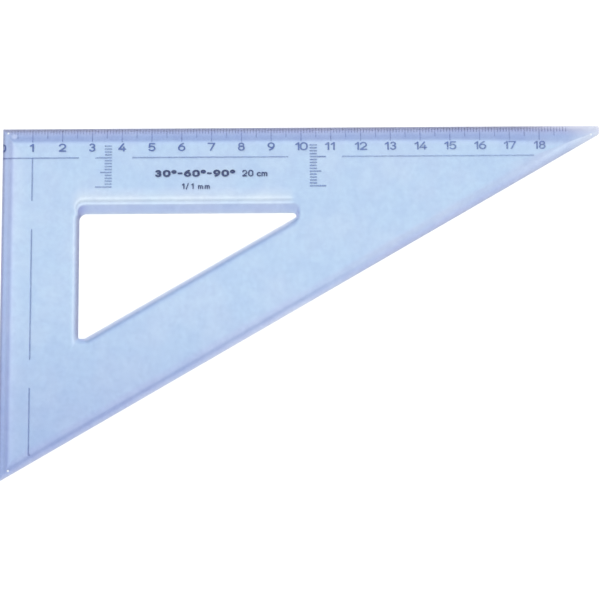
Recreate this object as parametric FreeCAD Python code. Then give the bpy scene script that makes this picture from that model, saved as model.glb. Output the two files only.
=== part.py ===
"""A 30/60/90 degree set square: one bevelled plastic plate and the scale printed on its underside.

The frame: the origin is the right-angle corner on the underside. +X runs along the graduated long edge,
-Y runs along the short edge, and +Z comes out of the face that the scale is read through.
All sizes are in millimetres.
"""

import FreeCAD
import Part

import math
import os

from collections import namedtuple
from FreeCAD import Vector

# an outline's three long sides are given by their distances from the plate's three edges
Outline = namedtuple("Outline", "from_long from_short from_slope tip_x foot_y radii")
Nib = namedtuple("Nib", "x from_slope")
# stretch widens the letters and the gaps between them sideways
Letters = namedtuple("Letters", "height stroke spacing stretch")
Mark = namedtuple("Mark", "left below_edge letters")  # below_edge: from the long edge to the baseline

# ---- plate ----
LONG_LEG = 205.0  # long edge, up to where the 30 degree corner would be sharp
TIP_ANGLE = math.radians(30.0)
SHORT_LEG = LONG_LEG * math.tan(TIP_ANGLE)
LONG_EDGE = 200.0  # long edge, up to the blunted tip
THICKNESS = 2.5
# right angle, upper and lower end of the blunted tip, 60 degree corner
CORNER_RADII = (0.25, 0.6, 0.6, 0.6)
EDGE_LAND = 0.55  # upright strip of each outer edge, the face that slides on a straightedge
EDGE_HEIGHT = 0.9  # height of each bevel where it would reach the outline

# width of each outer edge's bevel, and of the steep arris that blunts its foot
LONG_BEVEL = 4.7
LONG_ARRIS = 0.45
SHORT_BEVEL = 3.5
SHORT_ARRIS = 0.4
HYPOTENUSE_BEVEL = 2.4
HYPOTENUSE_ARRIS = 0.2

# ---- cut-out: a triangle inside the plate, with its two sharp corners cut off at tip_x and foot_y ----
# corner radii, in order: right angle, upper and lower end of the tip, right and left end of the foot
OPENING = Outline(29.1, 25.9, 26.95, 98.3, 71.1, (2.4, 1.15, 0.35, 0.8, 0.6))
OPENING_LAND = 0.4  # upright strip under the cut-out's bevels
BEVEL_TOP = Outline(26.4, 24.6, 25.5, 99.4, 72.4, (3.2, 2.4, 2.4, 3.0, 2.6))
# the ledge is wide along the top side and narrow along the others
LEDGE_FLOOR = Outline(25.15, 24.3, 25.4, 99.5, 72.5, (4.0, 2.6, 2.5, 3.2, 2.8))
LEDGE_TOP = Outline(24.55, 23.9, 25.2, 99.7, 72.7, (4.4, 2.8, 2.7, 3.6, 3.1))
LEDGE_DEPTH = 0.3

# ---- ink nibs: spherical bumps that hold the underside off the paper ----
NIB_RADIUS = 0.5
NIB_HEIGHT = 0.3
CORNER_NIB = Vector(1.7, -1.3, 0)
FOOT_NIB = Nib(x=3.4, from_slope=1.5)
TIP_NIB = Nib(x=197.5, from_slope=1.25)

# ---- print ----
INK = 0.03  # thickness of the ink film under the plate
INK_MARGIN = 0.05  # ink stops this far inside the outline
TICKS = range(3, 190)  # the first two make way for the nib
FINE_LINE = 0.28
BOLD_LINE = 0.32
MILLIMETRE_TICK = 2.0
HALF_TICK = 3.6
CENTIMETRE_TICK = 4.7

NUMERALS = range(1, 19)
NUMERAL_TOP = 5.05  # distance below the long edge
NUMERAL_LETTERS = Letters(height=2.8, stroke=0.44, spacing=0, stretch=1.28)

GUIDE_INSET = 10.0
GUIDE_LINE = 0.44
LONG_GUIDE_DASHES = ((INK_MARGIN, 25.6), (43.4, 95.7), (113.7, 178.0))
SHORT_GUIDE_DASHES = ((10.0, 24.6), (34.2, 78.0), (87.4, 109.4))

DEPTHS = range(6, 21)  # distances below the long edge
DEPTH_LINE = 0.46
DEPTH_MARK = 2.4
DEPTH_MARK_AT_5 = 3.9
DEPTH_MARK_AT_10 = 5.5
LEFT_DEPTH_X = 36.6
RIGHT_DEPTH_X = 102.9

ANGLE_MARK = Mark(50.9, 16.7, Letters(height=2.4, stroke=0.6, spacing=0.26, stretch=1.37))
SIZE_MARK = Mark(80.2, 16.7, Letters(height=2.3, stroke=0.44, spacing=0.07, stretch=1.05))
GRADUATION_MARK = Mark(59.9, 20.9, Letters(height=2.0, stroke=0.36, spacing=0.36, stretch=1.05))


# ---- outlines ----
def slope_x(y, from_slope):
    """Where a line parallel to the sloping edge, from_slope inside it, is at height y."""
    return LONG_LEG - (from_slope - y * math.cos(TIP_ANGLE)) / math.sin(TIP_ANGLE)


def slope_y(x, from_slope):
    """The same line's height at x."""
    return (from_slope - (LONG_LEG - x) * math.sin(TIP_ANGLE)) / math.cos(TIP_ANGLE)


def cutout_corners(outline):
    """The five corners of a triangle inside the plate whose 30 and 60 degree corners are cut off square."""
    top, foot = -outline.from_long, -outline.foot_y
    left, tip = outline.from_short, outline.tip_x
    return [
        Vector(left, top, 0),
        Vector(tip, top, 0),
        Vector(tip, slope_y(tip, outline.from_slope), 0),
        Vector(slope_x(foot, outline.from_slope), foot, 0),
        Vector(left, foot, 0),
    ]


def rounded_outline(corners, radii, z):
    """A closed wire at height z through these corners, each rounded by its radius."""
    lift = Vector(0, 0, z)
    arcs = []
    for i, (corner, radius) in enumerate(zip(corners, radii)):
        back = (corners[i - 1] - corner).normalize()
        ahead = (corners[(i + 1) % len(corners)] - corner).normalize()
        half_angle = back.getAngle(ahead) / 2
        setback = radius / math.tan(half_angle)
        clearance = radius / math.sin(half_angle) - radius
        steps = (back * setback, (back + ahead).normalize() * clearance, ahead * setback)
        arcs.append([corner + step + lift for step in steps])
    edges = []
    for (start, middle, end), (next_start, _, _) in zip(arcs, arcs[1:] + arcs[:1]):
        edges.append(Part.Arc(start, middle, end).toShape())
        edges.append(Part.LineSegment(end, next_start).toShape())
    return Part.Wire(edges)


def cutout_outline(outline, z):
    return rounded_outline(cutout_corners(outline), outline.radii, z)


# ---- plate ----
def blank():
    """The flat blank: a right triangle with its 30 degree corner cut off square to the long edge."""
    corners = [
        Vector(0, 0, 0),
        Vector(LONG_EDGE, 0, 0),
        Vector(LONG_EDGE, slope_y(LONG_EDGE, 0), 0),
        Vector(0, -SHORT_LEG, 0),
    ]
    wire = rounded_outline(corners, CORNER_RADII, 0)
    return Part.Face(wire).extrude(Vector(0, 0, THICKNESS))


def edge_cutter(start, inward, width, low, high):
    """A wedge whose lower face climbs from height low at the outline to height high at width inside it."""
    slope = (high - low) / width
    outside, inside = -THICKNESS, width + THICKNESS
    crest = low + slope * inside
    profile = [(outside, low + slope * outside), (inside, crest), (outside, crest + THICKNESS)]
    overrun = Vector(0, 0, 1).cross(inward) * LONG_LEG * 2
    points = [start + inward * depth + Vector(0, 0, z) - overrun for depth, z in profile]
    return Part.Face(Part.makePolygon(points + points[:1])).extrude(overrun * 2)


def outer_bevels():
    """The cutters of the three bevels and of the steeper arrises at their feet."""
    slope_inward = Vector(-math.sin(TIP_ANGLE), math.cos(TIP_ANGLE), 0)
    edges = [
        (Vector(0, 0, 0), Vector(0, -1, 0), LONG_BEVEL, LONG_ARRIS),
        (Vector(0, 0, 0), Vector(1, 0, 0), SHORT_BEVEL, SHORT_ARRIS),
        (Vector(LONG_LEG, 0, 0), slope_inward, HYPOTENUSE_BEVEL, HYPOTENUSE_ARRIS),
    ]
    cutters = []
    for start, inward, bevel, arris in edges:
        arris_top = EDGE_HEIGHT + (THICKNESS - EDGE_HEIGHT) * arris / bevel
        cutters.append(edge_cutter(start, inward, bevel, EDGE_HEIGHT, THICKNESS))
        cutters.append(edge_cutter(start, inward, arris, EDGE_LAND, arris_top))
    return cutters


def cutout():
    """The triangular opening: an upright land, a bevel for the fingertip and a shallow ledge above it."""
    ledge_height = THICKNESS - LEDGE_DEPTH
    opening = Part.Face(cutout_outline(OPENING, 0)).extrude(Vector(0, 0, THICKNESS))
    bevel = [cutout_outline(OPENING, OPENING_LAND), cutout_outline(BEVEL_TOP, ledge_height)]
    ledge = [cutout_outline(LEDGE_FLOOR, ledge_height), cutout_outline(LEDGE_TOP, THICKNESS)]
    return [opening, Part.makeLoft(bevel, True, True), Part.makeLoft(ledge, True, True)]


def nib_centres():
    """Where the three nibs stand, one near each corner of the plate."""
    beside_slope = [Vector(spot.x, slope_y(spot.x, spot.from_slope), 0) for spot in (FOOT_NIB, TIP_NIB)]
    return [CORNER_NIB] + beside_slope


def nib(centre):
    """One bump: the cap of a sphere, NIB_HEIGHT tall and NIB_RADIUS wide at the underside."""
    sphere_radius = (NIB_RADIUS**2 + NIB_HEIGHT**2) / (2 * NIB_HEIGHT)
    sphere_centre = centre + Vector(0, 0, sphere_radius - NIB_HEIGHT)
    sphere = Part.makeSphere(sphere_radius, sphere_centre)
    below = Part.makeCylinder(sphere_radius, NIB_HEIGHT * 2, centre - Vector(0, 0, NIB_HEIGHT * 2))
    return sphere.common(below)


def plate():
    body = blank()
    for cutter in outer_bevels() + cutout():
        body = body.cut(cutter)
    for centre in nib_centres():
        body = body.fuse(nib(centre))
    return body.removeSplitter()


# ---- ink: everything printed hangs from the underside, INK thick ----
def ink_strip(x1, y1, x2, y2):
    """A rectangle of ink between two opposite corners."""
    corner = Vector(min(x1, x2), min(y1, y2), -INK)
    return Part.makeBox(abs(x2 - x1), abs(y2 - y1), INK, corner)


def ink_dot(x, y, radius):
    return Part.makeCylinder(radius, INK, Vector(x, y, -INK))


def ink_bar(x1, y1, x2, y2, stroke):
    """A straight pen stroke with round ends."""
    start, end = Vector(x1, y1, -INK), Vector(x2, y2, -INK)
    side = Vector(0, 0, 1).cross((end - start).normalize()) * stroke / 2
    points = [start + side, end + side, end - side, start - side]
    bar = Part.Face(Part.makePolygon(points + points[:1])).extrude(Vector(0, 0, INK))
    return bar.multiFuse([ink_dot(x1, y1, stroke / 2), ink_dot(x2, y2, stroke / 2)])


def ink_bow(x, y, radius, start, end, stroke):
    """A pen stroke along a circle from angle start to angle end in degrees, with round ends."""
    centre = Vector(x, y, -INK)
    turn = end - start
    outer = Part.makeCylinder(radius + stroke / 2, INK, centre, Vector(0, 0, 1), turn)
    inner = Part.makeCylinder(radius - stroke / 2, INK, centre)
    bow = outer.cut(inner)
    bow.rotate(centre, Vector(0, 0, 1), start)
    if turn >= 360:
        return bow
    ends = [math.radians(start), math.radians(end)]
    dots = [ink_dot(x + radius * math.cos(a), y + radius * math.sin(a), stroke / 2) for a in ends]
    return bow.multiFuse(dots)


# ---- lettering: pen strokes in units of the letter's height, between stroke centres ----
# ("bar", x1, y1, x2, y2) is straight; ("bow", x, y, radius, start, end) follows a circle
GLYPH_WIDTH = 0.7
SIX = [("bow", 0.35, 0.32, 0.32, 0, 360), ("bow", 0.75, 0.32, 0.72, 109, 180)]
GLYPHS = {
    "0": [
        ("bow", 0.35, 0.65, 0.35, 0, 180),
        ("bow", 0.35, 0.35, 0.35, 180, 360),
        ("bar", 0, 0.35, 0, 0.65),
        ("bar", 0.7, 0.35, 0.7, 0.65),
    ],
    "1": [("bar", 0.4, 0, 0.4, 1), ("bar", 0.4, 1, 0.12, 0.76)],
    "2": [
        ("bow", 0.35, 0.68, 0.32, -38, 165),
        ("bar", 0.6, 0.483, 0.03, 0),
        ("bar", 0.03, 0, 0.7, 0),
    ],
    "3": [("bow", 0.34, 0.76, 0.24, -90, 155), ("bow", 0.34, 0.26, 0.27, -155, 90)],
    "4": [("bar", 0.5, 1, 0, 0.24), ("bar", 0, 0.24, 0.72, 0.24), ("bar", 0.54, 0.52, 0.54, 0)],
    "5": [
        ("bar", 0.63, 1, 0.13, 1),
        ("bar", 0.13, 1, 0.063, 0.48),
        ("bow", 0.34, 0.32, 0.32, -148, 150),
    ],
    "6": SIX,
    "7": [("bar", 0, 1, 0.68, 1), ("bar", 0.68, 1, 0.25, 0)],
    "8": [("bow", 0.35, 0.76, 0.24, 0, 360), ("bow", 0.35, 0.28, 0.29, 0, 360)],
    "-": [("bar", 0.1, 0.5, 0.45, 0.5)],
    "/": [("bar", 0.02, -0.08, 0.4, 1.08)],
    "c": [("bow", 0.3, 0.3, 0.3, 45, 315)],
    "m": [
        ("bar", 0, 0, 0, 0.6),
        ("bow", 0.2, 0.4, 0.2, 0, 180),
        ("bar", 0.4, 0, 0.4, 0.4),
        ("bow", 0.6, 0.4, 0.2, 0, 180),
        ("bar", 0.8, 0, 0.8, 0.4),
    ],
    "\N{DEGREE SIGN}": [("bow", 0.2, 0.8, 0.2, 0, 360)],
}
ADVANCE = {"1": 0.62, "-": 0.8, "/": 0.72, "c": 0.78, "m": 1.08, "\N{DEGREE SIGN}": 0.6, " ": 0.4}
DIGIT_ADVANCE = 1.0


def glyph_strokes(character):
    """A nine is a six turned half a turn about the middle of its cell."""
    if character != "9":
        return GLYPHS[character]
    turned = []
    for _, x, y, radius, start, end in SIX:
        turned.append(("bow", GLYPH_WIDTH - x, 1 - y, radius, start + 180, end + 180))
    return turned


def glyph(character, left, letters):
    """One unstretched character as one solid, standing on y = 0."""
    size = letters.height - letters.stroke
    x0, y0 = left + letters.stroke / 2, letters.stroke / 2
    pieces = []
    for kind, *values in glyph_strokes(character):
        if kind == "bar":
            x1, y1, x2, y2 = [value * size for value in values]
            pieces.append(ink_bar(x0 + x1, y0 + y1, x0 + x2, y0 + y2, letters.stroke))
        else:
            x, y, radius = [value * size for value in values[:3]]
            start, end = values[3:]
            pieces.append(ink_bow(x0 + x, y0 + y, radius, start, end, letters.stroke))
    solid = pieces[0]
    if len(pieces) > 1:
        solid = pieces[0].multiFuse(pieces[1:])
    return solid.removeSplitter()


def advance(character, letters):
    """How far on the next unstretched character starts."""
    return ADVANCE.get(character, DIGIT_ADVANCE) * (letters.height - letters.stroke) + letters.spacing


def text_width(text, letters):
    """From the left side of the first stroke to the right side of the last."""
    last = GLYPH_WIDTH * (letters.height - letters.stroke) + letters.stroke
    return letters.stretch * (sum(advance(character, letters) for character in text[:-1]) + last)


def lettering(text, left, baseline, letters):
    """A line of text, one solid a character."""
    placement = FreeCAD.Matrix()
    placement.scale(letters.stretch, 1, 1)
    placement.move(left, baseline, 0)
    solids = []
    x = 0
    for character in text:
        if character != " ":
            solids.append(glyph(character, x, letters).transformGeometry(placement))
        x += advance(character, letters)
    return solids


# ---- the printed groups ----
def ticks(marks, length, line):
    """Lines across the long edge's scale, one at each mark in millimetres."""
    return [ink_strip(x - line / 2, -INK_MARGIN, x + line / 2, -length) for x in marks]


def centimetre_numerals():
    """Numbers centred under the centimetre ticks; the short edge cuts off the left half of the zero."""
    height = NUMERAL_LETTERS.height
    baseline = -NUMERAL_TOP - height
    solids = []
    for number in NUMERALS:
        text = str(number)
        left = 10 * number - text_width(text, NUMERAL_LETTERS) / 2
        solids += lettering(text, left, baseline, NUMERAL_LETTERS)
    zero = lettering("0", -text_width("0", NUMERAL_LETTERS) / 2, baseline, NUMERAL_LETTERS)
    on_the_plate = ink_strip(INK_MARGIN, 0, height, 2 * baseline)
    return solids + [solid.common(on_the_plate) for solid in zero]


def long_edge_guide_line():
    y = -GUIDE_INSET
    return [ink_strip(x1, y - GUIDE_LINE / 2, x2, y + GUIDE_LINE / 2) for x1, x2 in LONG_GUIDE_DASHES]


def short_edge_guide_line():
    x = GUIDE_INSET
    return [ink_strip(x - GUIDE_LINE / 2, -y1, x + GUIDE_LINE / 2, -y2) for y1, y2 in SHORT_GUIDE_DASHES]


def depth_scale(x, side):
    """Lines parallel to the long edge, one at each millimetre below it, all growing from x towards side."""
    solids = []
    for depth in DEPTHS:
        length = DEPTH_MARK
        if depth % 5 == 0:
            length = DEPTH_MARK_AT_5
        if depth % 10 == 0:
            length = DEPTH_MARK_AT_10
        solids.append(ink_strip(x, -depth - DEPTH_LINE / 2, x + side * length, -depth + DEPTH_LINE / 2))
    return solids


def printed_mark(text, mark):
    return lettering(text, mark.left, -mark.below_edge, mark.letters)


def nodes():
    """Every sub-part by name, as a list of its solids."""
    centimetres = [x for x in TICKS if x % 10 == 0]
    halves = [x for x in TICKS if x % 10 == 5]
    millimetres = [x for x in TICKS if x % 5]
    degrees = "\N{DEGREE SIGN}"
    return {
        "plate": [plate()],
        "millimetre_ticks": ticks(millimetres, MILLIMETRE_TICK, FINE_LINE),
        "half_centimetre_ticks": ticks(halves, HALF_TICK, BOLD_LINE),
        "centimetre_ticks": ticks(centimetres, CENTIMETRE_TICK, BOLD_LINE),
        "centimetre_numerals": centimetre_numerals(),
        "long_edge_guide_line": long_edge_guide_line(),
        "short_edge_guide_line": short_edge_guide_line(),
        "left_depth_scale": depth_scale(LEFT_DEPTH_X, -1),
        "right_depth_scale": depth_scale(RIGHT_DEPTH_X, 1),
        "angle_mark": printed_mark(f"30{degrees}-60{degrees}-90{degrees}", ANGLE_MARK),
        "size_mark": printed_mark("20 cm", SIZE_MARK),
        "graduation_mark": printed_mark("1/1 mm", GRADUATION_MARK),
    }


os.makedirs("parts", exist_ok=True)
for name, solids in nodes().items():
    Part.makeCompound(solids).exportStep(f"parts/{name}.step")
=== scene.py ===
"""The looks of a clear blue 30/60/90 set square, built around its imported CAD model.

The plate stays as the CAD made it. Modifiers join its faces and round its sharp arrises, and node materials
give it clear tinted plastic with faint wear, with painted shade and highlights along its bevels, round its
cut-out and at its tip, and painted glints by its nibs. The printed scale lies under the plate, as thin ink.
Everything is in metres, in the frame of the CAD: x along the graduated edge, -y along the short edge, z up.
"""

import math

from collections import namedtuple

import bpy
from mathutils import Euler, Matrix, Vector


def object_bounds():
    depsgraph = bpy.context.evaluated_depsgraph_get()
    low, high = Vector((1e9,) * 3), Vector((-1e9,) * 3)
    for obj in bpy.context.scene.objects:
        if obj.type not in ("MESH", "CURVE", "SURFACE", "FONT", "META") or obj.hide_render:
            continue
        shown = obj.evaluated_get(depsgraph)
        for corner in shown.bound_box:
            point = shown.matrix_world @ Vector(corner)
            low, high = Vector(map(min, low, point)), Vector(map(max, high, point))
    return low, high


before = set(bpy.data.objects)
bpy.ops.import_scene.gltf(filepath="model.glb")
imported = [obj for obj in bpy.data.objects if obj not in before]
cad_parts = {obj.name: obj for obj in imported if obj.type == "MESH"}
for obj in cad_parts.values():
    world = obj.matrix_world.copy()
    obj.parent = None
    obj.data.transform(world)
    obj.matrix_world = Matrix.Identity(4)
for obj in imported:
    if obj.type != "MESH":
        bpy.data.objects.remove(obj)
cad_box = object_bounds()

MM = 0.001
TIP_ANGLE = math.radians(30.0)
PLATE_LENGTH = cad_box[1][0]
PLATE_WIDTH = -cad_box[0][1]

# ---- directions across the plate's edges, pointing out of the plate ----
LONG = Vector((0, 1, 0))
SHORT = Vector((-1, 0, 0))
SLOPE = Vector((math.sin(TIP_ANGLE), -math.cos(TIP_ANGLE), 0))
TIP = Vector((1, 0, 0))
FOOT = Vector((0, -1, 0))

# one value for each side of the cut-out
Ring = namedtuple("Ring", "long short slope tip foot")
SIDES = Ring(LONG, SHORT, SLOPE, TIP, FOOT)
Ink = namedtuple("Ink", "colour left right")  # opacity at the short edge and at the tip

# ---- camera: above the plate, a little in front of its middle, tipped towards the long edge ----
CAMERA_PLACE = Vector((0.0991, -0.1595, 0.6561))
CAMERA_TURN = (8.75, 0.03, -0.35)  # degrees about x, y and z
LENS = 120  # millimetres, for a 36 mm wide picture

# ---- floor and light ----
FLOOR_WHITE = 0.92
FLOOR_HALF = 3.0  # half its side
FLOOR_GAP = 0.02 * MM  # between the floor and the nibs
ZENITH = 0.9  # brightness of the sky overhead
HORIZON = 0.5
SKY_TOP = 0.8  # the z of a direction from which on the sky is as bright as overhead
KEY_POWER = 1.6
KEY_SIZE = math.radians(50)
KEY_TRAVEL = Vector((0.45, -0.45, -1.2))  # the way its light goes
MOST_BOUNCES = 32  # light bounces many times inside the plate before it leaves through an edge
GLARE = (0.035, 0.035, 0.035)  # light mirrored towards a viewer above the plate
FLOOR_SEEN = (0.89, 0.965, 1.06)  # the floor's brightness through the plate, without the plate's tint

# ---- plastic ----
PLASTIC_IOR = 1.49
SHADOW_TINT = (0.80, 0.87, 0.96)  # of the light that reaches the floor through the plate
SHARPEST = math.radians(15)  # edges sharper than this stay creased
ROUNDING = 0.1 * MM  # of the creased edges higher than ROUNDED_ABOVE
ROUNDED_ABOVE = 0.3 * MM
WELD = 0.001 * MM  # points of neighbouring faces closer than this are joined
DOWNWARD = -0.5  # a face whose outward normal has a lower z than this is on the underside
CLEAR_TO_HAZY = (0.02, 0.07)  # roughness
HAZE_SIZE = 30 * MM
WAVE_SIZE = 9 * MM
WAVE_HEIGHT = 0.02 * MM
WAVE_STRENGTH = 0.5
SCRATCH_DIRECTIONS = {24: 3.0, -57: 4.0}  # degrees, and the seed of the scratches that run that way
SCRATCH_WIDTH = 0.35 * MM
SCRATCH_SQUEEZE = (0.02, 1, 0.1)  # of the noise, along and across the scratches and through the plate
SCRATCH_DEPTH = 0.004 * MM
SCRATCH_STRENGTH = 0.6
SCRATCH_ROUGHNESS = 0.12
SCRATCHED_PATCH = 25 * MM

# ---- noise, as spans between its low and high values ----
MOST_NOISE = (0.3, 0.7)
CLOUD_NOISE = (0.35, 0.65)
SCRATCH_NOISE = (0.66, 0.74)
SCRATCHED_PATCH_NOISE = (0.45, 0.65)
INK_NOISE = (0.3, 0.6)


def seen(red, green, blue):
    """A colour on screen, 0 to 255, as linear light, by the sRGB curve."""
    return tuple(((level / 255 + 0.055) / 1.055) ** 2.4 for level in (red, green, blue))


# ---- the plate's looks from above on white paper, as (distance from an outline in mm, colour) ----
FLAT_LOOK = seen(192, 215, 243)
# the dark bands and bright lines along the bevels are painted shade and painted highlights
LONG_LOOK = [
    (0.0, seen(148, 153, 180)),
    (0.7, seen(152, 158, 188)),
    (1.1, seen(161, 169, 202)),
    (1.6, seen(174, 186, 225)),
    (2.5, seen(170, 187, 228)),
    (3.2, seen(161, 180, 224)),
    (4.3, seen(160, 179, 222)),
    (4.8, seen(170, 191, 231)),
    (5.2, seen(187, 209, 243)),
    (5.8, seen(194, 216, 246)),
    (6.4, FLAT_LOOK),
]
LONG_TIP_LOOK = [
    (0.0, seen(208, 212, 233)),
    (0.8, seen(196, 202, 228)),
    (1.2, seen(180, 187, 220)),
    (1.7, seen(173, 184, 223)),
    (2.5, seen(171, 187, 228)),
    (3.2, seen(167, 187, 228)),
    (4.3, seen(172, 191, 229)),
    (4.8, seen(180, 198, 233)),
    (5.8, seen(192, 211, 242)),
    (6.4, FLAT_LOOK),
]
LONG_CHANGE = (0.85, 0.95)  # where the first gives way to the second, in lengths of the plate
SHORT_LOOK = [
    (0.0, seen(150, 160, 190)),
    (0.6, seen(157, 168, 203)),
    (1.1, seen(176, 192, 230)),
    (1.7, seen(177, 195, 232)),
    (2.4, seen(173, 190, 226)),
    (3.1, seen(172, 187, 226)),
    (3.4, seen(178, 195, 232)),
    (3.9, seen(195, 213, 246)),
    (4.3, seen(199, 219, 247)),
    (5.8, seen(196, 218, 245)),
    (8.0, FLAT_LOOK),
]
# the sloping edge near the 60 degree corner, along its middle, and at the tip, where a painted highlight runs
# along the bevel
SLOPE_FOOT_LOOK = [
    (0.0, seen(203, 212, 235)),
    (0.4, seen(196, 208, 236)),
    (0.8, seen(190, 205, 237)),
    (1.2, seen(179, 195, 231)),
    (1.6, seen(172, 189, 226)),
    (1.95, seen(174, 191, 228)),
    (2.4, seen(185, 202, 236)),
    (2.8, seen(190, 207, 239)),
    (3.5, seen(191, 210, 241)),
    (4.6, FLAT_LOOK),
]
SLOPE_MIDDLE_LOOK = [
    (0.0, seen(172, 181, 211)),
    (0.4, seen(184, 195, 228)),
    (0.8, seen(184, 196, 231)),
    (1.2, seen(185, 199, 235)),
    (1.6, seen(187, 203, 236)),
    (2.4, seen(191, 207, 237)),
    (3.2, seen(191, 208, 237)),
    (3.8, seen(193, 212, 241)),
    (4.6, FLAT_LOOK),
]
SLOPE_TIP_LOOK = [
    (0.0, seen(172, 182, 210)),
    (0.4, seen(186, 199, 228)),
    (0.8, seen(189, 204, 233)),
    (1.2, seen(195, 211, 239)),
    (1.6, seen(204, 219, 246)),
    (2.1, seen(210, 226, 250)),
    (2.5, seen(205, 221, 247)),
    (2.9, seen(197, 213, 241)),
    (3.6, seen(190, 206, 236)),
]
SLOPE_CHANGES = (0.48, 0.64), (0.80, 0.97)  # where each gives way to the next, in lengths of the plate
WIDENING = 0.16  # of the long bevel's look towards the tip
WIDENING_SPAN = (0.75, 0.96)  # in lengths of the plate
BEVEL_BLEND = 0.14  # how far the looks run into each other at a mitre, in widths of a bevel

# round the cut-out, in painted shade and highlights: the steep wall, the two bright lines of the ledge, then
# the flat
CUT_TOP_LOOK = [
    (0.0, seen(190, 206, 231)),
    (0.4, seen(184, 200, 230)),
    (1.2, seen(181, 198, 233)),
    (2.3, seen(179, 196, 230)),
    (2.7, seen(186, 203, 233)),
    (3.1, seen(214, 233, 255)),
    (3.6, seen(206, 224, 247)),
    (4.0, seen(195, 212, 232)),
    (4.35, seen(205, 222, 240)),
    (4.75, seen(220, 236, 253)),
    (5.1, seen(218, 234, 252)),
    (5.6, seen(208, 225, 245)),
    (6.2, seen(202, 221, 244)),
    (7.4, seen(199, 219, 245)),
    (9.0, FLAT_LOOK),
]
# the ledge runs out where the top side meets the short side at the tip
CUT_TOP_END_LOOK = CUT_TOP_LOOK[:4] + [(2.8, seen(181, 199, 232)), (3.3, FLAT_LOOK)]
CUT_TOP_CHANGE = (-2.8 * MM, 0.2 * MM)  # how far past the line of the tip side
CUT_LEFT_LOOK = [
    (0.0, seen(158, 165, 193)),
    (0.45, seen(155, 164, 195)),
    (0.8, seen(168, 180, 211)),
    (1.2, seen(191, 209, 239)),
    (1.6, seen(213, 233, 255)),
    (2.0, seen(201, 223, 250)),
    (2.4, seen(194, 219, 245)),
    (3.0, FLAT_LOOK),
]
CUT_SLOPE_LOOK = [
    (0.0, seen(222, 231, 248)),
    (0.4, seen(204, 215, 238)),
    (0.8, seen(186, 199, 227)),
    (1.2, seen(167, 184, 220)),
    (1.6, seen(158, 178, 216)),
    (2.0, seen(163, 186, 225)),
    (2.4, seen(179, 202, 237)),
    (2.9, seen(188, 212, 242)),
    (3.4, FLAT_LOOK),
]
CUT_TIP_LOOK = [
    (0.0, seen(196, 204, 230)),
    (0.35, seen(174, 186, 222)),
    (0.9, seen(162, 177, 219)),
    (1.25, seen(176, 195, 231)),
    (1.7, FLAT_LOOK),
]
CUT_FOOT_LOOK = [
    (0.0, seen(192, 202, 232)),
    (0.35, seen(178, 191, 228)),
    (0.85, seen(168, 185, 227)),
    (1.2, seen(161, 184, 226)),
    (1.5, seen(169, 194, 232)),
    (1.9, seen(182, 206, 240)),
    (2.4, FLAT_LOOK),
]
# how wide the walls look from above
CUT_WALLS = Ring(long=2.75 * MM, short=1.0 * MM, slope=2.2 * MM, tip=1.2 * MM, foot=1.9 * MM)
CUT_REACH = 3.3  # where the cut-out's looks end, in widths of its walls
CUT_FULL = 0.95  # the share of CUT_REACH where they are still full
CUT_BLEND = 0.15  # how far the looks of two sides run into each other, in widths of a wall
CUT_ROUNDNESS = {"foot": 3.5, "slope": 0.6, "tip": 2.4}  # of the looks where each side meets those before it
CUT_CORNER_RADIUS = 2.4 * MM
CUT_CORNER_TURN = (0.5, 1.0)  # the left side's look gives way to the top side's over these sines
CUT_SHADE = (0.74, 0.73, 0.88)  # painted shade on the wall round the right-angle corner
CUT_SHADE_SHIFT = Vector((-0.3 * MM, 1.9 * MM, 0))  # from the opening's corner to the darkest spot
CUT_SHADE_SPREAD = 5.0 * MM
CUT_SHADE_END = (1.1, 0.8)  # where the shade ends and where it is full, in widths of a wall

# ---- broad changes across the plate ----
# painted shade, darker towards the 60 degree corner
FOOT_SHADE = (0.80, 0.81, 0.90)
FOOT_SHADE_SPAN = (0.424, 0.933)  # in widths of the plate
# painted light, brighter towards the tip
TIP_PAINTED_LIGHT = seen(230, 235, 248)
TIP_END = Vector((PLATE_LENGTH, -1.5 * MM, 1 * MM))
TIP_SPREAD = 14 * MM
TIP_SHARE = 0.62  # of TIP_PAINTED_LIGHT at TIP_END
# clouds in the plastic: size, seed, and the lightest and darkest they make it
CLOUDS = [
    (14 * MM, 1.0, (1.026, 1.008, 1.0), (0.974, 0.992, 1.0)),
    (4 * MM, 2.0, (1.024, 1.024, 1.01), (0.976, 0.976, 0.99)),
    (1.4 * MM, 7.0, (1.02, 1.02, 1.012), (0.98, 0.98, 0.988)),
]
# painted highlights by the nibs
GLINT_LOOK = seen(255, 255, 255)
GLINT_RADIUS = 0.48 * MM
GLINT_CORE = 0.35  # the share of a spot's radius that is fully bright
GLINT_LEVEL = 1.3 * MM  # how high above the underside a glint leaves the plate
SECOND_GLINT = Vector((4.0 * MM, -2.8 * MM, 0))  # a paler second painted glint beside the one in the right-angle corner
SECOND_GLINT_LOOK = seen(192, 206, 240)
SECOND_GLINT_RADIUS = 1.3 * MM

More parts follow.
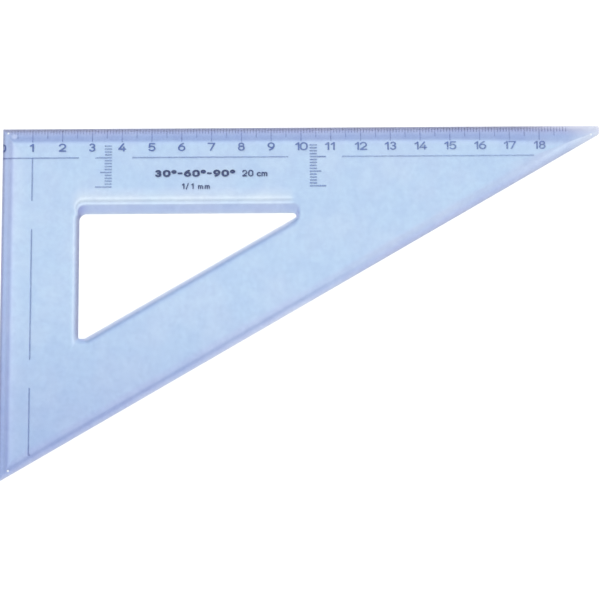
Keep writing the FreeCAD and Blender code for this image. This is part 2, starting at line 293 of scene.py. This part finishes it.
# ---- ink ----
PALE_BLUE = (0.15, 0.20, 0.43)
DARK_BLUE = (0.038, 0.048, 0.15)
INKS = {
    "millimetre_ticks": Ink(PALE_BLUE, 0.22, 0.37),
    "half_centimetre_ticks": Ink(PALE_BLUE, 0.25, 0.26),
    "centimetre_ticks": Ink(PALE_BLUE, 0.31, 0.32),
    "centimetre_numerals": Ink(PALE_BLUE, 0.86, 0.60),
    "long_edge_guide_line": Ink(PALE_BLUE, 0.46, 0.32),
    "short_edge_guide_line": Ink(PALE_BLUE, 0.46, 0.42),
    "left_depth_scale": Ink(PALE_BLUE, 0.46, 0.46),
    "right_depth_scale": Ink(PALE_BLUE, 0.52, 0.52),
    "angle_mark": Ink(DARK_BLUE, 0.91, 0.91),
    "size_mark": Ink(DARK_BLUE, 0.80, 0.80),
    "graduation_mark": Ink(DARK_BLUE, 0.84, 0.84),
}
INK_SHADES = (0.85, 1.15)  # of its colour
INK_ROUGHNESS = (0.5, 0.7)
INK_WEAR = (0.8, 1.08)  # how much ink is left in the thinnest and thickest patches
INK_PATCH = 1.5 * MM
INK_AT_EDGE = 0.3  # how much of the ticks' ink is left where they reach the long edge
INK_EDGE_SPAN = 1.4 * MM


# ---- nodes ----
def node(tree, kind, inputs=None, **settings):
    """Adds a node. An input is a value, or the output of another node."""
    made = tree.nodes.new(kind)
    for name, value in settings.items():
        setattr(made, name, value)
    for key, value in (inputs or {}).items():
        if isinstance(value, bpy.types.NodeSocket):
            tree.links.new(value, made.inputs[key])
        else:
            made.inputs[key].default_value = value
    return made


def arithmetic(tree, operation, *values):
    """One step of arithmetic on numbers."""
    return node(tree, "ShaderNodeMath", dict(enumerate(values)), operation=operation).outputs[0]


def vector_math(tree, operation, *values):
    """One step of arithmetic on vectors, which gives a vector or a number."""
    made = node(tree, "ShaderNodeVectorMath", dict(enumerate(values)), operation=operation)
    return made.outputs["Value" if operation in ("DOT_PRODUCT", "DISTANCE", "LENGTH") else "Vector"]


def fade(tree, value, start, end, low=0.0, high=1.0):
    """Goes smoothly from low to high as value goes from start to end."""
    inputs = {"Value": value, "From Min": start, "From Max": end, "To Min": low, "To Max": high}
    return node(tree, "ShaderNodeMapRange", inputs, interpolation_type="SMOOTHSTEP").outputs[0]


def mix(tree, share, first, second, blend="MIX"):
    """Mixes two colours, with share of the second."""
    made = node(tree, "ShaderNodeMix", data_type="RGBA", blend_type=blend)
    # inputs 0, 6 and 7 are the share and the two colours, and output 2 is their mixture
    for index, value in ((0, share), (6, first), (7, second)):
        if isinstance(value, bpy.types.NodeSocket):
            tree.links.new(value, made.inputs[index])
        elif index == 0:
            made.inputs[index].default_value = value
        else:
            made.inputs[index].default_value = (*value, 1)
    return made.outputs[2]


def gradient(tree, distance, stops):
    """A colour that runs through stops of (distance in mm, colour), the first of them at 0."""
    reach = stops[-1][0]
    ramp = node(tree, "ShaderNodeValToRGB", {0: arithmetic(tree, "DIVIDE", distance, reach * MM)})
    elements = ramp.color_ramp.elements
    while len(elements) < len(stops):
        elements.new(0.5)
    for element, (place, colour) in zip(elements, stops):
        element.position = place / reach
        element.color = (*colour, 1)
    return ramp.outputs[0]


def noise(tree, place, size, detail=2.0, seed=0.0):
    """Noise around 0.5 with features of about this size."""
    inputs = {"Vector": place, "W": seed, "Scale": 1 / size, "Detail": detail}
    return node(tree, "ShaderNodeTexNoise", inputs, noise_dimensions="4D").outputs["Fac"]


def empty_material(name):
    """A material with nodes, but none in it yet."""
    material = bpy.data.materials.new(name)
    material.use_nodes = True
    material.node_tree.nodes.clear()
    return material


# ---- measures of the plate, read from its CAD mesh ----
plate_points = [vertex.co.copy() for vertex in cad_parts["plate"].data.vertices]
UNDERSIDE = 0.0
TOP = max(point.z for point in plate_points)
SLOPE_LINE = max(point.dot(SLOPE) for point in plate_points)
NIB_HEIGHT = UNDERSIDE - min(point.z for point in plate_points)
SAME = 0.01 * MM  # heights closer than this are the same
CUTOUT_INSET = 8 * MM  # the cut-out lies further than this inside the three edges
NIB_SPACING = 5 * MM  # nibs are further apart than this


def inside_edges(point):
    """Distances from the plate's long, short and sloping edges."""
    return -point.dot(LONG), -point.dot(SHORT), SLOPE_LINE - point.dot(SLOPE)


def bevel_width(edge):
    """How far the flat top stays inside one of the three edges."""
    return min(inside_edges(point)[edge] for point in plate_points if TOP - point.z < SAME)


def cutout_opening():
    """The cut-out's outline on the underside, as its five sides' places along their directions."""
    ring = [p for p in plate_points if abs(p.z - UNDERSIDE) < SAME and min(inside_edges(p)) > CUTOUT_INSET]
    return Ring(*[max(p.dot(side) for p in ring) for side in SIDES])


def nib_tips():
    """The lowest point of each nib."""
    tips = []
    for point in plate_points:
        lowest = point.z < UNDERSIDE - NIB_HEIGHT + SAME
        if lowest and all((point - tip).length > NIB_SPACING for tip in tips):
            tips.append(point)
    return tips


OPENING = cutout_opening()


# ---- the plate's look ----
def bevels_look(tree, place):
    """The flat top and the three outer bevels. Each side's look reaches to the mitres between the bevels."""
    along = arithmetic(tree, "DIVIDE", vector_math(tree, "DOT_PRODUCT", place, TIP), PLATE_LENGTH)
    inside = []
    for facing, outline in ((LONG, 0.0), (SHORT, 0.0), (SLOPE, SLOPE_LINE)):
        inside.append(arithmetic(tree, "SUBTRACT", outline, vector_math(tree, "DOT_PRODUCT", place, facing)))
    from_long, from_short, from_slope = inside
    narrowing = fade(tree, along, *WIDENING_SPAN, 1.0, 1.0 - WIDENING)
    from_long = arithmetic(tree, "MULTIPLY", from_long, narrowing)

    # each bevel's look is painted shade and painted highlights, set by distance from its edge
    long_looks = [gradient(tree, from_long, stops) for stops in (LONG_LOOK, LONG_TIP_LOOK)]
    long_look = mix(tree, fade(tree, along, *LONG_CHANGE), *long_looks)
    short_look = gradient(tree, from_short, SHORT_LOOK)
    slope_look = gradient(tree, from_slope, SLOPE_FOOT_LOOK)
    for span, stops in zip(SLOPE_CHANGES, (SLOPE_MIDDLE_LOOK, SLOPE_TIP_LOOK)):
        slope_look = mix(tree, fade(tree, along, *span), slope_look, gradient(tree, from_slope, stops))

    # the nearest edge, counted in widths of its bevel, gives the look
    climbs = []
    for edge, distance in enumerate((from_long, from_short, from_slope)):
        climbs.append(arithmetic(tree, "DIVIDE", distance, bevel_width(edge)))
    nearest, look = climbs[0], long_look
    for climb, side_look in zip(climbs[1:], (short_look, slope_look)):
        nearer = fade(tree, arithmetic(tree, "SUBTRACT", climb, nearest), BEVEL_BLEND, -BEVEL_BLEND)
        look = mix(tree, nearer, look, side_look)
        nearest = arithmetic(tree, "MINIMUM", climb, nearest)
    return look


def round_corner(tree, outside):
    """The cut-out's right-angle corner, seen from the centre of its arc.

    Gives the way out from the arc, in widths of the wall, and the turn from the left side (0) to the top (1).
    """
    past_long = arithmetic(tree, "MAXIMUM", arithmetic(tree, "ADD", outside.long, CUT_CORNER_RADIUS), 0.0)
    past_short = arithmetic(tree, "MAXIMUM", arithmetic(tree, "ADD", outside.short, CUT_CORNER_RADIUS), 0.0)
    past_both = node(tree, "ShaderNodeCombineXYZ", {0: past_long, 1: past_short}).outputs[0]
    from_centre = vector_math(tree, "LENGTH", past_both)
    turn = fade(tree, arithmetic(tree, "DIVIDE", past_long, from_centre), *CUT_CORNER_TURN)
    width = arithmetic(tree, "MULTIPLY_ADD", turn, CUT_WALLS.long - CUT_WALLS.short, CUT_WALLS.short)
    from_arc = arithmetic(tree, "SUBTRACT", from_centre, CUT_CORNER_RADIUS)
    return arithmetic(tree, "DIVIDE", from_arc, width), turn


def corner_look(tree, place, past_tip, reaches, climb, turn):
    """The painted shade and highlights of the cut-out's top and left sides and of the corner between them."""
    top_look = gradient(tree, reaches.long, CUT_TOP_LOOK)
    end_look = gradient(tree, reaches.long, CUT_TOP_END_LOOK)
    top_look = mix(tree, fade(tree, past_tip, *CUT_TOP_CHANGE), top_look, end_look)
    look = mix(tree, turn, gradient(tree, reaches.short, CUT_LEFT_LOOK), top_look)

    darkest = Vector((-OPENING.short, OPENING.long, 0)) + CUT_SHADE_SHIFT
    level_place = vector_math(tree, "MULTIPLY", place, (1, 1, 0))
    nearness = fade(tree, vector_math(tree, "DISTANCE", level_place, darkest), CUT_SHADE_SPREAD, 0.0)
    shade = arithmetic(tree, "MULTIPLY", nearness, fade(tree, climb, *CUT_SHADE_END))
    return mix(tree, shade, look, CUT_SHADE, "MULTIPLY")


def cutout_look(tree, place):
    """The painted shade and highlights of the cut-out's walls, of its ledge and of what shines round them.

    Gives the colour, and how far out from the opening a place is, in widths of the wall.
    """
    outside = []
    for facing, side in zip(SIDES, OPENING):
        outside.append(arithmetic(tree, "SUBTRACT", vector_math(tree, "DOT_PRODUCT", place, facing), side))
    outside = Ring(*outside)
    corner_climb, turn = round_corner(tree, outside)

    # climb runs smoothly round the whole opening, and reaches are the same in metres beside each side
    climbs = Ring(*[arithmetic(tree, "DIVIDE", past, width) for past, width in zip(outside, CUT_WALLS)])
    climb = corner_climb
    for side, roundness in CUT_ROUNDNESS.items():
        climb = arithmetic(tree, "SMOOTH_MAX", climb, getattr(climbs, side), roundness)
    reaches = Ring(*[arithmetic(tree, "MULTIPLY", climb, width) for width in CUT_WALLS])

    look = corner_look(tree, place, outside.tip, reaches, climb, turn)
    furthest = corner_climb
    for side, stops in (("slope", CUT_SLOPE_LOOK), ("tip", CUT_TIP_LOOK), ("foot", CUT_FOOT_LOOK)):
        side_climb = getattr(climbs, side)
        further = fade(tree, arithmetic(tree, "SUBTRACT", side_climb, furthest), -CUT_BLEND, CUT_BLEND)
        look = mix(tree, further, look, gradient(tree, getattr(reaches, side), stops))
        furthest = arithmetic(tree, "MAXIMUM", furthest, side_climb)
    return look, climb


def glints(tree, place, look):
    """Painted glints where the nibs gather light, each where the line from nib to camera leaves the plate."""
    spots = [(SECOND_GLINT, SECOND_GLINT_RADIUS, SECOND_GLINT_LOOK)]
    for nib in nib_tips():
        toward_camera = (CAMERA_PLACE - nib) * (GLINT_LEVEL / CAMERA_PLACE.z)
        spots.append((nib + toward_camera, GLINT_RADIUS, GLINT_LOOK))
    level_place = vector_math(tree, "MULTIPLY", place, (1, 1, 0))
    for spot, radius, colour in spots:
        away = vector_math(tree, "DISTANCE", level_place, (spot.x, spot.y, 0))
        look = mix(tree, fade(tree, away, radius, radius * GLINT_CORE), look, colour)
    return look


def plate_look(tree, place):
    """The colour that the plate shows from above, over its whole top, painted shade and highlights included.
    """
    look = bevels_look(tree, place)
    around_cutout, climb = cutout_look(tree, place)
    look = mix(tree, fade(tree, climb, CUT_REACH, CUT_REACH * CUT_FULL), look, around_cutout)

    # painted shade towards the 60 degree corner, painted light at the tip, and faintly clouded
    across = arithmetic(tree, "DIVIDE", vector_math(tree, "DOT_PRODUCT", place, FOOT), PLATE_WIDTH)
    look = mix(tree, fade(tree, across, *FOOT_SHADE_SPAN), look, FOOT_SHADE, "MULTIPLY")
    from_tip = vector_math(tree, "DISTANCE", place, TIP_END)
    look = mix(tree, fade(tree, from_tip, TIP_SPREAD, 0.0, high=TIP_SHARE), look, TIP_PAINTED_LIGHT)
    for size, seed, light, dark in CLOUDS:
        cloud = fade(tree, noise(tree, place, size, seed=seed), *CLOUD_NOISE)
        look = vector_math(tree, "MULTIPLY", look, mix(tree, cloud, dark, light))
    return glints(tree, place, look)


def scratches(tree, place, direction, seed):
    """Fine straight scratches along one direction, 0 between them and up to 1 in them."""
    turn = {"Vector": place, "Angle": math.radians(direction)}
    turned = node(tree, "ShaderNodeVectorRotate", turn, rotation_type="Z_AXIS").outputs[0]
    squeezed = vector_math(tree, "MULTIPLY", turned, SCRATCH_SQUEEZE)
    lines = noise(tree, squeezed, SCRATCH_WIDTH, detail=1.0, seed=seed)
    patches = noise(tree, place, SCRATCHED_PATCH, seed=seed)
    in_patch = fade(tree, patches, *SCRATCHED_PATCH_NOISE)
    return arithmetic(tree, "MULTIPLY", fade(tree, lines, *SCRATCH_NOISE), in_patch)


def upper_tint_and_painted_light(tree, geometry):
    """A colour that tints the upper side to its look with its painted light, and leaves the underside clear.

    The shader tints by the root of its colour, so this is the square of the tint.
    """
    without_glare = vector_math(tree, "SUBTRACT", plate_look(tree, geometry["Position"]), GLARE)
    tint = vector_math(tree, "DIVIDE", without_glare, FLOOR_SEEN)
    outward = arithmetic(tree, "MULTIPLY_ADD", geometry["Backfacing"], -2.0, 1.0)
    up = node(tree, "ShaderNodeSeparateXYZ", {0: geometry["True Normal"]}).outputs["Z"]
    on_top = arithmetic(tree, "GREATER_THAN", arithmetic(tree, "MULTIPLY", up, outward), DOWNWARD)
    return mix(tree, on_top, (1, 1, 1), vector_math(tree, "MULTIPLY", tint, tint))


def worn_surface(tree, place):
    """The roughness and the normal of a moulded face with haze, shallow waves and scratches."""
    worn = 0.0
    for direction, seed in SCRATCH_DIRECTIONS.items():
        worn = arithmetic(tree, "MAXIMUM", scratches(tree, place, direction, seed), worn)
    haze = noise(tree, place, HAZE_SIZE, detail=4.0, seed=5.0)
    unscratched = fade(tree, haze, *MOST_NOISE, *CLEAR_TO_HAZY)
    roughness = arithmetic(tree, "MULTIPLY_ADD", worn, SCRATCH_ROUGHNESS, unscratched)
    waves = node(tree, "ShaderNodeBump", {
        "Height": noise(tree, place, WAVE_SIZE, seed=6.0),
        "Distance": WAVE_HEIGHT,
        "Strength": WAVE_STRENGTH,
    })
    grooves = node(tree, "ShaderNodeBump", {
        "Height": worn,
        "Distance": -SCRATCH_DEPTH,
        "Strength": SCRATCH_STRENGTH,
        "Normal": waves.outputs[0],
    })
    return roughness, grooves.outputs[0]


def clear_plastic_with_painted_light():
    """Clear blue plastic that refracts and reflects, and lets the light for the floor straight through."""
    material = empty_material("clear_blue_plastic")
    tree = material.node_tree
    geometry = node(tree, "ShaderNodeNewGeometry").outputs
    place = geometry["Position"]
    roughness, normal = worn_surface(tree, place)
    # the base colour holds the plastic's tint together with painted shade and highlights
    glass = node(tree, "ShaderNodeBsdfPrincipled", {
        "Base Color": upper_tint_and_painted_light(tree, geometry),
        "Roughness": roughness,
        "IOR": PLASTIC_IOR,
        "Transmission Weight": 1.0,
        "Normal": normal,
    })
    # light for the floor goes straight through, and so does light on its way out of a nib
    crossing = tuple(math.sqrt(c) for c in SHADOW_TINT)
    open_path = node(tree, "ShaderNodeBsdfTransparent", {"Color": (*crossing, 1)})
    path = node(tree, "ShaderNodeLightPath").outputs
    z = node(tree, "ShaderNodeSeparateXYZ", {0: place}).outputs["Z"]
    in_nib = arithmetic(tree, "LESS_THAN", z, UNDERSIDE - SAME)
    lets_through = arithmetic(tree, "MULTIPLY", geometry["Backfacing"], in_nib)
    for ray in ("Is Shadow Ray", "Is Diffuse Ray"):
        lets_through = arithmetic(tree, "MAXIMUM", lets_through, path[ray])
    mixed = node(tree, "ShaderNodeMixShader", {0: lets_through, 1: glass.outputs[0], 2: open_path.outputs[0]})
    node(tree, "ShaderNodeOutputMaterial", {"Surface": mixed.outputs[0]})
    return material


# ---- ink ----
def ink(name, kind):
    """Thin worn ink on the underside. Only a film's lower face shows: its upper one lies in the plate's."""
    material = empty_material(name)
    tree = material.node_tree
    place = node(tree, "ShaderNodeNewGeometry").outputs["Position"]
    axes = node(tree, "ShaderNodeSeparateXYZ", {0: place}).outputs
    patches = noise(tree, place, INK_PATCH, detail=4.0)
    thin, thick = [tuple(c * shade for c in kind.colour) for shade in INK_SHADES]
    solid = node(tree, "ShaderNodeBsdfPrincipled", {
        "Base Color": mix(tree, patches, thin, thick),
        "Roughness": fade(tree, patches, *MOST_NOISE, *INK_ROUGHNESS),
    })
    gaps = node(tree, "ShaderNodeBsdfTransparent")
    cover = fade(tree, axes["X"], 0.0, PLATE_LENGTH, kind.left, kind.right)
    for share in (
        fade(tree, patches, *INK_NOISE, *INK_WEAR),
        fade(tree, axes["Y"], -INK_EDGE_SPAN, 0.0, 1.0, INK_AT_EDGE),
        arithmetic(tree, "LESS_THAN", axes["Z"], UNDERSIDE - SAME),
    ):
        cover = arithmetic(tree, "MULTIPLY", cover, share)
    mixed = node(tree, "ShaderNodeMixShader", {0: cover, 1: gaps.outputs[0], 2: solid.outputs[0]})
    node(tree, "ShaderNodeOutputMaterial", {"Surface": mixed.outputs[0]})
    return material


# ---- modifiers ----
def higher(tree, value, limit):
    """Whether a value is over a limit, in a tree of geometry nodes."""
    settings = {"data_type": "FLOAT", "operation": "GREATER_THAN"}
    return node(tree, "FunctionNodeCompare", {"A": value, "B": limit}, **settings).outputs[0]


def join_faces(piece):
    """Joins the CAD's faces, shades its arcs smooth, and marks the creased edges that are to be rounded."""
    tree = bpy.data.node_groups.new("smooth_arcs", "GeometryNodeTree")
    for way in ("INPUT", "OUTPUT"):
        tree.interface.new_socket("Geometry", in_out=way, socket_type="NodeSocketGeometry")
    mesh = node(tree, "NodeGroupInput").outputs[0]
    mesh = node(tree, "GeometryNodeMergeByDistance", {"Geometry": mesh, "Distance": WELD}).outputs[0]
    smooth = {"Geometry": mesh, "Shade Smooth": True}
    mesh = node(tree, "GeometryNodeSetShadeSmooth", smooth, domain="FACE").outputs[0]
    sharp = higher(tree, node(tree, "GeometryNodeInputMeshEdgeAngle").outputs["Unsigned Angle"], SHARPEST)
    creased = {"Geometry": mesh, "Selection": sharp, "Shade Smooth": False}
    mesh = node(tree, "GeometryNodeSetShadeSmooth", creased, domain="EDGE").outputs[0]
    place = node(tree, "GeometryNodeInputPosition").outputs[0]
    z = node(tree, "ShaderNodeSeparateXYZ", {0: place}).outputs["Z"]
    rounded = arithmetic(tree, "MULTIPLY", sharp, higher(tree, z, ROUNDED_ABOVE))
    weight = {"Geometry": mesh, "Name": "bevel_weight_edge", "Value": rounded}
    mesh = node(tree, "GeometryNodeStoreNamedAttribute", weight, data_type="FLOAT", domain="EDGE").outputs[0]
    node(tree, "NodeGroupOutput", {0: mesh})
    modifier = piece.modifiers.new("smooth_arcs", "NODES")
    modifier.node_group = tree


def round_arrises(piece):
    """Rounds the upper arrises a little."""
    modifier = piece.modifiers.new("round_arrises", "BEVEL")
    modifier.width = ROUNDING
    modifier.segments = 2
    modifier.limit_method = "WEIGHT"
    modifier.harden_normals = True


def dress(name, material):
    """Gives a CAD node its material."""
    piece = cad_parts[name]
    piece.data.materials.clear()
    piece.data.materials.append(material)


# ---- surroundings ----
def floor():
    """A large white sheet just under the nibs."""
    z = cad_box[0][2] - FLOOR_GAP
    corners = [(x * FLOOR_HALF, y * FLOOR_HALF, z) for x, y in ((-1, -1), (1, -1), (1, 1), (-1, 1))]
    mesh = bpy.data.meshes.new("floor")
    mesh.from_pydata(corners, [], [(0, 1, 2, 3)])
    piece = bpy.data.objects.new("floor", mesh)
    bpy.context.scene.collection.objects.link(piece)
    material = empty_material("floor")
    tree = material.node_tree
    paper = node(tree, "ShaderNodeBsdfDiffuse", {"Color": (FLOOR_WHITE, FLOOR_WHITE, FLOOR_WHITE, 1)})
    node(tree, "ShaderNodeOutputMaterial", {"Surface": paper.outputs[0]})
    mesh.materials.append(material)


def sky():
    """A white studio: brighter overhead than at the horizon, and plain white behind the floor."""
    world = bpy.data.worlds.new("studio")
    world.use_nodes = True
    bpy.context.scene.world = world
    tree = world.node_tree
    background = tree.nodes["Background"]
    background.inputs["Color"].default_value = (1, 1, 1, 1)
    direction = node(tree, "ShaderNodeTexCoord").outputs["Generated"]
    height = node(tree, "ShaderNodeSeparateXYZ", {0: direction}).outputs["Z"]
    brightness = fade(tree, height, 0.0, SKY_TOP, HORIZON, ZENITH)
    seen_directly = node(tree, "ShaderNodeLightPath").outputs["Is Camera Ray"]
    tree.links.new(arithmetic(tree, "MAXIMUM", seen_directly, brightness), background.inputs["Strength"])


def key_light():
    """A broad soft light from the upper left. It is never mirrored in the plate."""
    light = bpy.data.lights.new("key_light", "SUN")
    light.angle = KEY_SIZE
    light.energy = KEY_POWER
    lamp = bpy.data.objects.new("key_light", light)
    bpy.context.scene.collection.objects.link(lamp)
    lamp.visible_glossy = False
    lamp.visible_transmission = False
    lamp.rotation_euler = KEY_TRAVEL.to_track_quat("-Z", "Y").to_euler()


def camera():
    """The camera that the picture is taken with."""
    lens = bpy.data.cameras.new("camera")
    lens.lens = LENS
    piece = bpy.data.objects.new("camera", lens)
    bpy.context.scene.collection.objects.link(piece)
    piece.location = CAMERA_PLACE
    piece.rotation_euler = Euler([math.radians(turn) for turn in CAMERA_TURN], "XYZ")
    bpy.context.scene.camera = piece


join_faces(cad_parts["plate"])
round_arrises(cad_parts["plate"])
dress("plate", clear_plastic_with_painted_light())
for name, kind in INKS.items():
    dress(name, ink(name + "_ink", kind))
floor()
sky()
key_light()
camera()
scene = bpy.context.scene
scene.view_settings.view_transform = "Standard"
scene.cycles.max_bounces = MOST_BOUNCES
scene.cycles.glossy_bounces = MOST_BOUNCES
scene.cycles.transmission_bounces = MOST_BOUNCES
